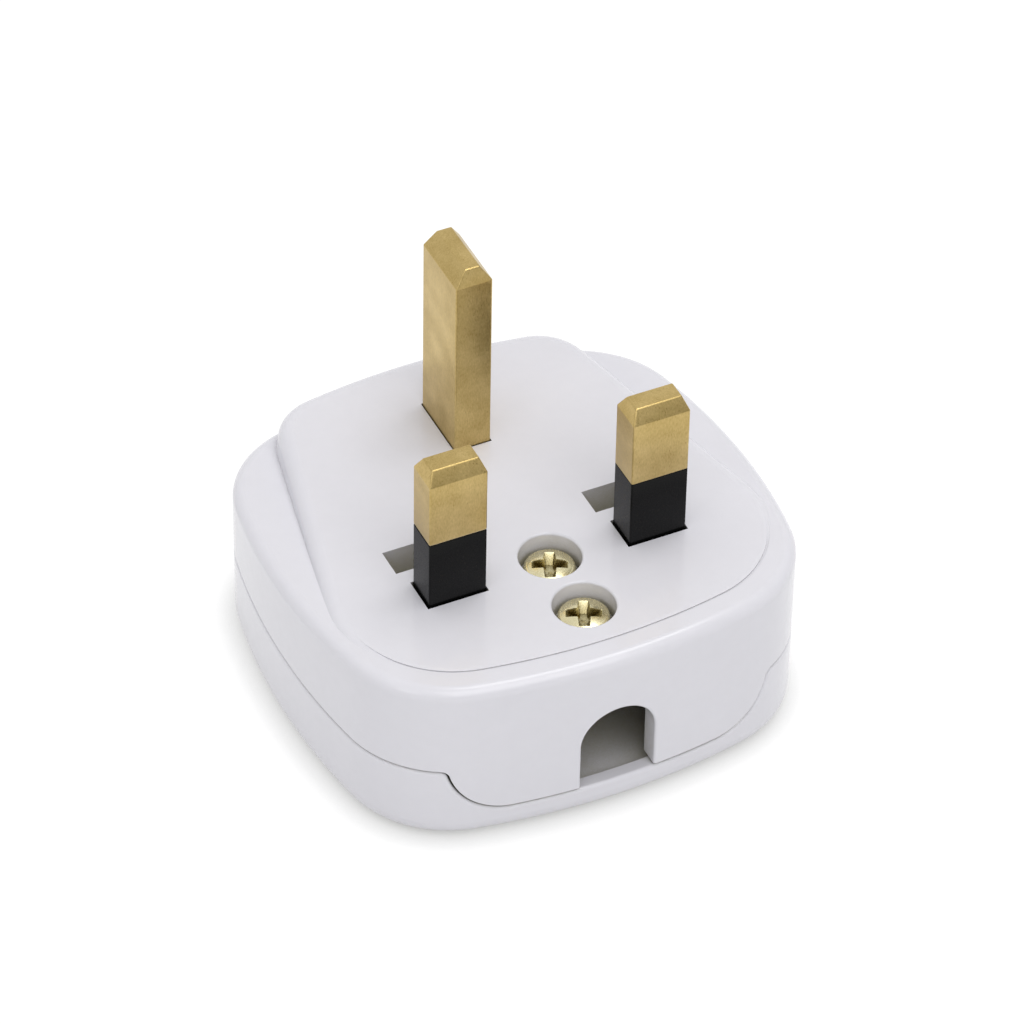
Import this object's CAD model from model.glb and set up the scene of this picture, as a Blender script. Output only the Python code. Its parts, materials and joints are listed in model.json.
import json
import math

import bmesh
import bpy
import numpy as np
from mathutils import Matrix, Vector


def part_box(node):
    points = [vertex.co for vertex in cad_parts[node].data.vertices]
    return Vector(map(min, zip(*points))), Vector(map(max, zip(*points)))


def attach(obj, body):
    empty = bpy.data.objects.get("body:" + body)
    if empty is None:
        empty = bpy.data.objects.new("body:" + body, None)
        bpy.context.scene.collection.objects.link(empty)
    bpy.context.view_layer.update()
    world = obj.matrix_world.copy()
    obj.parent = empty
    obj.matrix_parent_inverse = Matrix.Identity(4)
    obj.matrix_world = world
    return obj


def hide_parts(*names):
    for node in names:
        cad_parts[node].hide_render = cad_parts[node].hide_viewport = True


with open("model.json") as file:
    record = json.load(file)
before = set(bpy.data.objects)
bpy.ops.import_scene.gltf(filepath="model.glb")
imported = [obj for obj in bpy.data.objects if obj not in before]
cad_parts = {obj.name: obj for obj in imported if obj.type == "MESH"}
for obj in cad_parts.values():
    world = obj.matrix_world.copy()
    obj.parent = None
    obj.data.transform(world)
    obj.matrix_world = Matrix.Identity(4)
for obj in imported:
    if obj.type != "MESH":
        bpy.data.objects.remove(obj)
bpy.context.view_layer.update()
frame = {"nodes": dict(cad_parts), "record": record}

MM = 0.001

# Camera, as the plug was photographed: from above its cord end, a little to its left
VIEW_TURN = math.radians(-26.04)
VIEW_RISE = math.radians(42.0)
VIEW_ROLL = math.radians(1.06)
VIEW_DISTANCE = 600 * MM
VIEW_TARGET = Vector((0.0, -2.26, 20.2)) * MM
VIEW_SLIDE = (-1.02 * MM, 0.38 * MM)
LENS = 208.3
SENSOR = 36.0
NEAREST_SEEN = 0.01
FARTHEST_SEEN = 10.0

# Light: a white tent, dim at its open front, with soft boxes overhead, high in front and at the left
TENT_BACK = 0.92
TENT_FRONT = 0.40
SOFT_BOXES = {
    "top_box": {"place": (0.16, 0.02, 0.60), "side": 0.24, "power": 0.68},
    "front_box": {"place": (0.00, -0.42, 0.55), "side": 0.50, "power": 1.62},
    "left_box": {"place": (-0.51, -0.29, 0.33), "side": 0.16, "power": 0.25},
}
BOX_AIM = (0.0, 0.0, 0.02)
FLOOR_SIZE = 4.0
PAPER_COLOUR = "ECECEC"
PAPER_SEEN_COLOUR = "8C8C8C"
PAPER_SEEN_LIFT = 0.80
CONTACT_LIFT = 0.40
CONTACT_REACH = 2.6 * MM

# Small rounds that tools and tumbling leave on the edges of pins and sleeves
PIN_EDGE_ROUND = 0.22 * MM
SLEEVE_EDGE_ROUND = 0.12 * MM
EDGE_STEPS = 3
SHARP_ANGLE = math.radians(28)
FLAT_ANGLE = math.radians(0.5)
SAME_POINT = 1e-6

# Screws in the pin face
SCREW_HEAD_RADIUS = 2.65 * MM
SCREW_HEAD_HEIGHT = 2.1 * MM
SCREW_DOME = 0.5 * MM
SCREW_RIM_ROUND = 0.35 * MM
THREAD_RADIUS = 1.75 * MM
THREAD_DEPTH = 0.32 * MM
THREAD_PITCH = 0.6 * MM
RECESS_TURN = math.radians(-24)
RECESS_REACH = 1.85 * MM
RECESS_HALF_WIDTH = 0.72 * MM
RECESS_TIP_HALF_WIDTH = 0.52 * MM
RECESS_DEPTH = 1.3 * MM
RECESS_FLOOR_FALL = 0.25
RECESS_WALL_SLOPE = 4.0
RECESS_END_SLOPE = 1.3
NECK_RADIUS = 1.1 * MM
COLLAR_RADIUS = 1.5 * MM
NECK_HEIGHT = 0.8 * MM
COLLAR_HEIGHT = 0.7 * MM
POINTS_AROUND = 240
CROWN_RINGS = 90
RIM_RINGS = 9
RINGS_PER_PITCH = 10
SCREW_SHARP_ANGLE = math.radians(40)

# Finishes: the part of a noise's range that is used, the grain's share in the mottling, and the number of
# directions in which open sky is looked for
NOISE_LOW = 0.3
NOISE_HIGH = 0.7
GRAIN_SHARE = 0.55
SKY_SAMPLES = 4


# Helpers for finishes
def linear(hex_colour):
    """Linear RGBA of an sRGB colour written as six hex digits."""
    values = np.array([int(hex_colour[i:i + 2], 16) for i in (0, 2, 4)]) / 255.0
    low = values / 12.92
    high = ((values + 0.055) / 1.055) ** 2.4
    return (*np.where(values <= 0.04045, low, high).tolist(), 1.0)


def add_node(tree, kind, settings, links):
    """Adds a node. A setting is an input's value, by its name or number, or else a property of the
    node; a link joins an input, by name or number, to a socket made earlier."""
    node = tree.nodes.new(kind)
    for key, value in settings.items():
        if isinstance(key, int) or key in node.inputs:
            node.inputs[key].default_value = value
        else:
            setattr(node, key, value)
    for key, socket in links.items():
        tree.links.new(socket, node.inputs[key])
    return node


def new_material(name):
    """An empty material: its node tree and its output node."""
    material = bpy.data.materials.new(name)
    material.use_nodes = True
    material.node_tree.nodes.clear()
    output = add_node(material.node_tree, "ShaderNodeOutputMaterial", {}, {})
    return material, material.node_tree, output


def finish(name, bright, dull, cloud, grain, roughness, dent, surface):
    """A procedural finish. Soft clouds of one size and grain of another mix two close colours; the grain
    also moves the roughness between two values and dents the surface. Sizes are in metres, the grain's
    along X, Y and Z; surface holds the shader's constant values."""
    material, tree, output = new_material(name)
    place = add_node(tree, "ShaderNodeTexCoord", {}, {}).outputs["Object"]
    clouds = add_node(tree, "ShaderNodeTexNoise", {"Scale": 1.0 / cloud, "Detail": 3.0}, {"Vector": place})
    stretch = add_node(tree, "ShaderNodeMapping", {"Scale": [1.0 / size for size in grain]},
                       {"Vector": place})
    grains = add_node(tree, "ShaderNodeTexNoise", {"Scale": 1.0, "Detail": 4.0, "Roughness": 0.6},
                      {"Vector": stretch.outputs["Vector"]})
    blotch = add_node(tree, "ShaderNodeMix", {"data_type": "FLOAT", 0: GRAIN_SHARE},
                      {2: clouds.outputs[0], 3: grains.outputs[0]})
    share = add_node(tree, "ShaderNodeMapRange", {"From Min": NOISE_LOW, "From Max": NOISE_HIGH},
                     {"Value": blotch.outputs[0]})
    colour = add_node(tree, "ShaderNodeMix", {"data_type": "RGBA", 6: linear(dull), 7: linear(bright)},
                      {0: share.outputs[0]})
    gloss = add_node(tree, "ShaderNodeMapRange",
                     {"From Min": NOISE_LOW, "From Max": NOISE_HIGH,
                      "To Min": roughness[0], "To Max": roughness[1]},
                     {"Value": grains.outputs[0]})
    relief = add_node(tree, "ShaderNodeBump", {"Strength": 1.0, "Distance": dent},
                      {"Height": grains.outputs[0]})
    shader = add_node(tree, "ShaderNodeBsdfPrincipled", surface,
                      {"Base Color": colour.outputs[2], "Roughness": gloss.outputs[0],
                       "Normal": relief.outputs[0]})
    tree.links.new(shader.outputs[0], output.inputs["Surface"])
    return material


def shade_hollows(material, inside, reach, span, own_faces_only=False):
    """Mixes a second colour into a finish where little open sky is left within reach: wholly where the
    open share is span's first value, and not at all from its second. Other pieces close off the sky
    as well, unless only the piece's own faces count."""
    tree = material.node_tree
    shader = next(node for node in tree.nodes if node.type == "BSDF_PRINCIPLED")
    outside = shader.inputs["Base Color"].links[0].from_socket
    open_sky = add_node(tree, "ShaderNodeAmbientOcclusion",
                        {"samples": SKY_SAMPLES, "only_local": own_faces_only, "Distance": reach}, {})
    share = add_node(tree, "ShaderNodeMapRange", {"From Min": span[0], "From Max": span[1]},
                     {"Value": open_sky.outputs["AO"]})
    colour = add_node(tree, "ShaderNodeMix", {"data_type": "RGBA", 6: linear(inside)},
                      {0: share.outputs[0], 7: outside})
    tree.links.new(colour.outputs[2], shader.inputs["Base Color"])


# Finishes of this plug
# Urea moulded in a polished steel die: a cool white, a clear soft gloss and a faint orange peel. The
# inner walls, which the die leaves dull, are a warmer grey, and dust darkens the joints and creases.
moulded_urea = finish("moulded_white_urea", "DEDDE3", "DBDAE0", 12 * MM, (1.4 * MM,) * 3, (0.13, 0.19),
                      0.0008 * MM, {"IOR": 1.5})
shade_hollows(moulded_urea, "A8A388", 25 * MM, (0.01, 0.16))
shade_hollows(moulded_urea, "605E55", 0.8 * MM, (0.05, 0.45))
# Brass bar, drawn to size and barrelled: dull gold, streaked along the pin, with a light tarnish.
# The drawing marks are finer than a pixel of the picture, so they are drawn coarser here.
drawn_brass = finish("drawn_brass", "D6BD82", "AA9154", 3.0 * MM, (0.14 * MM, 0.14 * MM, 0.4 * MM),
                     (0.27, 0.42), 0.004 * MM, {"Metallic": 1.0})
# The edges of the same bar, burnished by use in sockets: smooth, pale and bright.
burnished_brass = finish("burnished_brass_edge", "EDDCAE", "DDC994", 1.5 * MM, (0.3 * MM,) * 3,
                         (0.10, 0.18), 0.0005 * MM, {"Metallic": 1.0})
# Brass turned on an automatic lathe and barrelled: pale straw with bright highlights, dark and oily deep
# in the recess of a screw.
turned_brass = finish("turned_brass", "EFE7C4", "E0D6A8", 1.2 * MM, (0.12 * MM,) * 3, (0.20, 0.34),
                      0.001 * MM, {"Metallic": 1.0})
shade_hollows(turned_brass, "6E5E2A", 1.5 * MM, (0.45, 0.95), own_faces_only=True)
# Hard-rolled brass strip, stamped and bent: a smooth sheen with rolling lines along its length.
rolled_brass = finish("rolled_brass_strip", "D0B068", "B99851", 2.0 * MM, (0.15 * MM, 2.5 * MM, 0.15 * MM),
                      (0.22, 0.36), 0.002 * MM, {"Metallic": 1.0})
# Black nylon, overmoulded on the pin: satin and nearly black head on, greyer at a low angle.
black_nylon = finish("moulded_black_nylon", "0C0C0C", "090909", 4.0 * MM, (0.25 * MM,) * 3, (0.20, 0.30),
                     0.003 * MM, {"IOR": 1.53, "Specular IOR Level": 0.12})
# Grey nylon moulding: matt and slightly mottled.
grey_nylon = finish("moulded_grey_nylon", "8E8D87", "83827C", 3.0 * MM, (0.4 * MM,) * 3, (0.5, 0.62),
                    0.006 * MM, {"IOR": 1.53})
# Steatite, fired without glaze: chalky cream with a sandy grain.
fired_steatite = finish("fired_steatite", "E6E1D4", "DAD3C3", 2.5 * MM, (0.2 * MM,) * 3, (0.7, 0.85),
                        0.008 * MM, {"IOR": 1.55})
# Nickel plate on drawn brass caps: warm silver, bright with a faint haze.
nickel_plate = finish("nickel_plate", "CFCBC2", "BDB8AD", 2.0 * MM, (0.2 * MM,) * 3, (0.16, 0.28),
                      0.002 * MM, {"Metallic": 1.0})

FINISHES = {
    "white_moulding": moulded_urea,
    "pin_brass": drawn_brass,
    "screw_brass": turned_brass,
    "spring_brass": rolled_brass,
    "black_sleeve": black_nylon,
    "clamp_moulding": grey_nylon,
    "fuse_ceramic": fired_steatite,
    "fuse_metal": nickel_plate,
}
SLOT_OF = {part["node"]: part["material_slot"] for part in frame["record"]["subparts"]}
for node_name, item in frame["nodes"].items():
    item.data.materials[0] = FINISHES[SLOT_OF[node_name]]


# Pieces that stand for a CAD node
def settle(mesh, name, node_name):
    """Puts a mesh in the scene as the piece that stands for a node, in that node's finish."""
    piece = bpy.data.objects.new(name, mesh)
    bpy.context.scene.collection.objects.link(piece)
    mesh.materials.clear()
    mesh.materials.append(FINISHES[SLOT_OF[node_name]])
    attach(piece, "root")
    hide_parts(node_name)
    return piece


def eased_copy(node_name, name, edge_round):
    """A copy of a node as one closed skin: touching corners merged, flat faces made whole, and each
    sharp edge given a small round that catches the light."""
    skin = bmesh.new()
    skin.from_mesh(frame["nodes"][node_name].data)
    bmesh.ops.remove_doubles(skin, verts=skin.verts, dist=SAME_POINT)
    bmesh.ops.dissolve_limit(skin, angle_limit=FLAT_ANGLE, verts=skin.verts, edges=skin.edges)
    mesh = bpy.data.meshes.new(name)
    skin.to_mesh(mesh)
    skin.free()
    mesh.shade_smooth()
    piece = settle(mesh, name, node_name)
    bevel = piece.modifiers.new("eased_edges", "BEVEL")
    bevel.width = edge_round
    bevel.segments = EDGE_STEPS
    bevel.limit_method = "ANGLE"
    bevel.angle_limit = SHARP_ANGLE
    bevel.harden_normals = True
    return piece


for node_name in ("earth_pin", "live_pin", "neutral_pin"):
    blade = eased_copy(node_name, node_name + "_blade", PIN_EDGE_ROUND)
    blade.data.materials.append(burnished_brass)
    blade.modifiers["eased_edges"].material = 1
for node_name in ("live_sleeve", "neutral_sleeve"):
    eased_copy(node_name, node_name + "_moulding", SLEEVE_EDGE_ROUND)


def ringed_mesh(name, rings, first, last):
    """A closed mesh from rings of points (ring, place on the ring, xyz), closed by a point at each end."""
    count, around = rings.shape[:2]
    points = np.concatenate([rings.reshape(-1, 3), [first, last]])
    ring, place = np.meshgrid(np.arange(count - 1), np.arange(around), indexing="ij")
    after = (place + 1) % around
    quads = np.stack([ring * around + place, (ring + 1) * around + place,
                      (ring + 1) * around + after, ring * around + after], axis=-1).reshape(-1, 4)
    turn = np.arange(around)
    next_turn = (turn + 1) % around
    top = np.stack([np.full(around, count * around), turn, next_turn], axis=-1)
    foot = (count - 1) * around
    bottom = np.stack([np.full(around, count * around + 1), foot + next_turn, foot + turn], axis=-1)
    mesh = bpy.data.meshes.new(name)
    mesh.from_pydata(points.tolist(), [], quads.tolist() + top.tolist() + bottom.tolist())
    mesh.update()
    return mesh


def recess_depth(x, y):
    """Depth of the cross recess under a point of the head. Along an arm the distance is the larger of
    |x| and |y| and across it the smaller; the arm narrows outwards, its walls are steep, its outer end
    slopes, and its floor falls a little to the middle."""
    along = np.maximum(np.abs(x), np.abs(y))
    across = np.minimum(np.abs(x), np.abs(y))
    share = np.clip(along / RECESS_REACH, 0.0, 1.0)
    half_width = RECESS_HALF_WIDTH + (RECESS_TIP_HALF_WIDTH - RECESS_HALF_WIDTH) * share
    to_wall = (half_width - across) * RECESS_WALL_SLOPE
    to_end = (RECESS_REACH - along) * RECESS_END_SLOPE
    floor = RECESS_DEPTH * (1.0 - RECESS_FLOOR_FALL * share)
    return np.clip(np.minimum(np.minimum(to_wall, to_end), floor), 0.0, None)


def cross_screw(node_name, name, ends):
    """A crowned screw. Rings run from the middle of the head over its crown, with the cross recess sunk
    in it, round the rim, down to the seat, and along a shank whose radius rises and falls with its
    height and angle as a helical thread does. ends are (radius, height) steps below the thread."""
    low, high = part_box(node_name)
    axis_x, axis_y = (low[0] + high[0]) / 2, (low[1] + high[1]) / 2
    top, foot = high[2], low[2]
    angle = np.linspace(0.0, 2 * math.pi, POINTS_AROUND, endpoint=False)[None, :]

    crown_radius = (SCREW_HEAD_RADIUS ** 2 + SCREW_DOME ** 2) / (2 * SCREW_DOME)
    crown_edge = SCREW_HEAD_RADIUS - SCREW_RIM_ROUND
    crown_reach = np.linspace(0.0, crown_edge, CROWN_RINGS)[1:, None]
    reach = crown_reach + 0.0 * angle
    spin = angle - RECESS_TURN
    dome = top - crown_radius + np.sqrt(crown_radius ** 2 - reach ** 2)
    crown = (reach, dome - recess_depth(reach * np.cos(spin), reach * np.sin(spin)))

    turn = np.linspace(0.0, math.pi / 2, RIM_RINGS)[1:, None] + 0.0 * angle
    rim_top = top - crown_radius + math.sqrt(crown_radius ** 2 - crown_edge ** 2)
    rim = (crown_edge + SCREW_RIM_ROUND * np.sin(turn), rim_top - SCREW_RIM_ROUND * (1 - np.cos(turn)))

    seat = top - SCREW_HEAD_HEIGHT
    under = (np.array([[SCREW_HEAD_RADIUS], [THREAD_RADIUS - THREAD_DEPTH]]) + 0.0 * angle,
             seat + 0.0 * angle + np.zeros((2, 1)))

    end_height = sum(height for _, height in ends)
    thread_foot = foot + end_height
    ring_gap = THREAD_PITCH / RINGS_PER_PITCH
    drop = np.arange(seat - ring_gap, thread_foot, -ring_gap)[:, None]
    phase = (drop / THREAD_PITCH - angle / (2 * math.pi)) % 1.0
    flank = 1.0 - np.abs(2 * phase - 1.0)
    thread = (THREAD_RADIUS - THREAD_DEPTH * flank, drop + 0.0 * angle)

    steps = []
    level = thread_foot
    for radius, height in ends:
        steps += [(radius, level), (radius, level - height)]
        level -= height
    parts = [crown, rim, under, thread]
    if steps:
        step_values = np.array(steps)
        parts.append((step_values[:, :1] + 0.0 * angle, step_values[:, 1:] + 0.0 * angle))
    radius = np.concatenate([part[0] for part in parts])
    height = np.concatenate([part[1] for part in parts])
    rings = np.stack([axis_x + radius * np.cos(angle), axis_y + radius * np.sin(angle), height], axis=-1)
    first = (axis_x, axis_y, top - RECESS_DEPTH)
    last = (axis_x, axis_y, foot)
    mesh = ringed_mesh(name, rings, first, last)
    mesh.shade_smooth()
    mesh.set_sharp_from_angle(angle=SCREW_SHARP_ANGLE)
    return settle(mesh, name, node_name)


cross_screw("cover_screw", "cover_screw_turned", [])
cross_screw("cord_clamp_screw", "cord_clamp_screw_turned",
            [(NECK_RADIUS, NECK_HEIGHT), (COLLAR_RADIUS, COLLAR_HEIGHT)])


# Floor: white paper, shown to the eye partly as plain white, so that the plug's shadow stays light
# but for the line where the two touch
def paper_floor():
    material, tree, output = new_material("white_paper_sweep")
    rays = add_node(tree, "ShaderNodeLightPath", {}, {})
    seen = add_node(tree, "ShaderNodeMath", {"operation": "MAXIMUM"},
                    {0: rays.outputs["Is Camera Ray"], 1: rays.outputs["Is Glossy Ray"]})
    shown = add_node(tree, "ShaderNodeMath", {"operation": "MAXIMUM"},
                     {0: seen.outputs[0], 1: rays.outputs["Is Transmission Ray"]})
    open_sky = add_node(tree, "ShaderNodeAmbientOcclusion",
                        {"samples": SKY_SAMPLES, "Distance": CONTACT_REACH}, {})
    level = add_node(tree, "ShaderNodeMapRange", {"To Min": CONTACT_LIFT, "To Max": PAPER_SEEN_LIFT},
                     {"Value": open_sky.outputs["AO"]})
    lift = add_node(tree, "ShaderNodeMath", {"operation": "MULTIPLY"},
                    {0: shown.outputs[0], 1: level.outputs[0]})
    colour = add_node(tree, "ShaderNodeMix",
                      {"data_type": "RGBA", 6: linear(PAPER_COLOUR), 7: linear(PAPER_SEEN_COLOUR)},
                      {0: shown.outputs[0]})
    paper = add_node(tree, "ShaderNodeBsdfDiffuse", {}, {"Color": colour.outputs[2]})
    glow = add_node(tree, "ShaderNodeEmission", {}, {"Strength": lift.outputs[0]})
    both = add_node(tree, "ShaderNodeAddShader", {}, {0: paper.outputs[0], 1: glow.outputs[0]})
    tree.links.new(both.outputs[0], output.inputs["Surface"])
    mesh = bpy.data.meshes.new("paper_floor")
    half = FLOOR_SIZE / 2
    corners = [(-half, -half, 0), (half, -half, 0), (half, half, 0), (-half, half, 0)]
    mesh.from_pydata(corners, [], [(0, 1, 2, 3)])
    mesh.materials.append(material)
    floor = bpy.data.objects.new("paper_floor", mesh)
    bpy.context.scene.collection.objects.link(floor)


paper_floor()


# Tent and lamps
def white_tent():
    world = bpy.data.worlds.new("white_tent")
    bpy.context.scene.world = world
    world.use_nodes = True
    tree = world.node_tree
    tree.nodes.clear()
    way = add_node(tree, "ShaderNodeTexCoord", {}, {})
    parts = add_node(tree, "ShaderNodeSeparateXYZ", {}, {"Vector": way.outputs["Generated"]})
    level = add_node(tree, "ShaderNodeMapRange",
                     {"From Min": -1.0, "From Max": 1.0, "To Min": TENT_FRONT, "To Max": TENT_BACK},
                     {"Value": parts.outputs["Y"]})
    cloth = add_node(tree, "ShaderNodeBackground", {"Color": (1.0, 1.0, 1.0, 1.0)},
                     {"Strength": level.outputs[0]})
    add_node(tree, "ShaderNodeOutputWorld", {}, {"Surface": cloth.outputs[0]})


def soft_box(name, place, side, power):
    lamp = bpy.data.lights.new(name, "AREA")
    lamp.shape = "SQUARE"
    lamp.size = side
    lamp.energy = power
    box = bpy.data.objects.new(name, lamp)
    box.location = place
    box.rotation_euler = (Vector(BOX_AIM) - Vector(place)).to_track_quat("-Z", "Y").to_euler()
    bpy.context.scene.collection.objects.link(box)


white_tent()
for box_name, values in SOFT_BOXES.items():
    soft_box(box_name, **values)


# Camera
def photo_camera():
    right = Vector((math.cos(VIEW_TURN), math.sin(VIEW_TURN), 0.0))
    back = Vector((math.sin(VIEW_TURN) * math.cos(VIEW_RISE), -math.cos(VIEW_TURN) * math.cos(VIEW_RISE),
                   math.sin(VIEW_RISE)))
    up = back.cross(right)
    rolled_right = math.cos(VIEW_ROLL) * right + math.sin(VIEW_ROLL) * up
    rolled_up = back.cross(rolled_right)
    eye = VIEW_TARGET + rolled_right * VIEW_SLIDE[0] + rolled_up * VIEW_SLIDE[1] + back * VIEW_DISTANCE
    turn = Matrix((rolled_right, rolled_up, back)).transposed().to_4x4()
    lens = bpy.data.cameras.new("photo_camera")
    lens.lens = LENS
    lens.sensor_width = SENSOR
    lens.clip_start = NEAREST_SEEN
    lens.clip_end = FARTHEST_SEEN
    camera = bpy.data.objects.new("photo_camera", lens)
    camera.matrix_world = Matrix.Translation(eye) @ turn
    bpy.context.scene.collection.objects.link(camera)
    bpy.context.scene.camera = camera


photo_camera()
bpy.context.scene.view_settings.view_transform = "Standard"
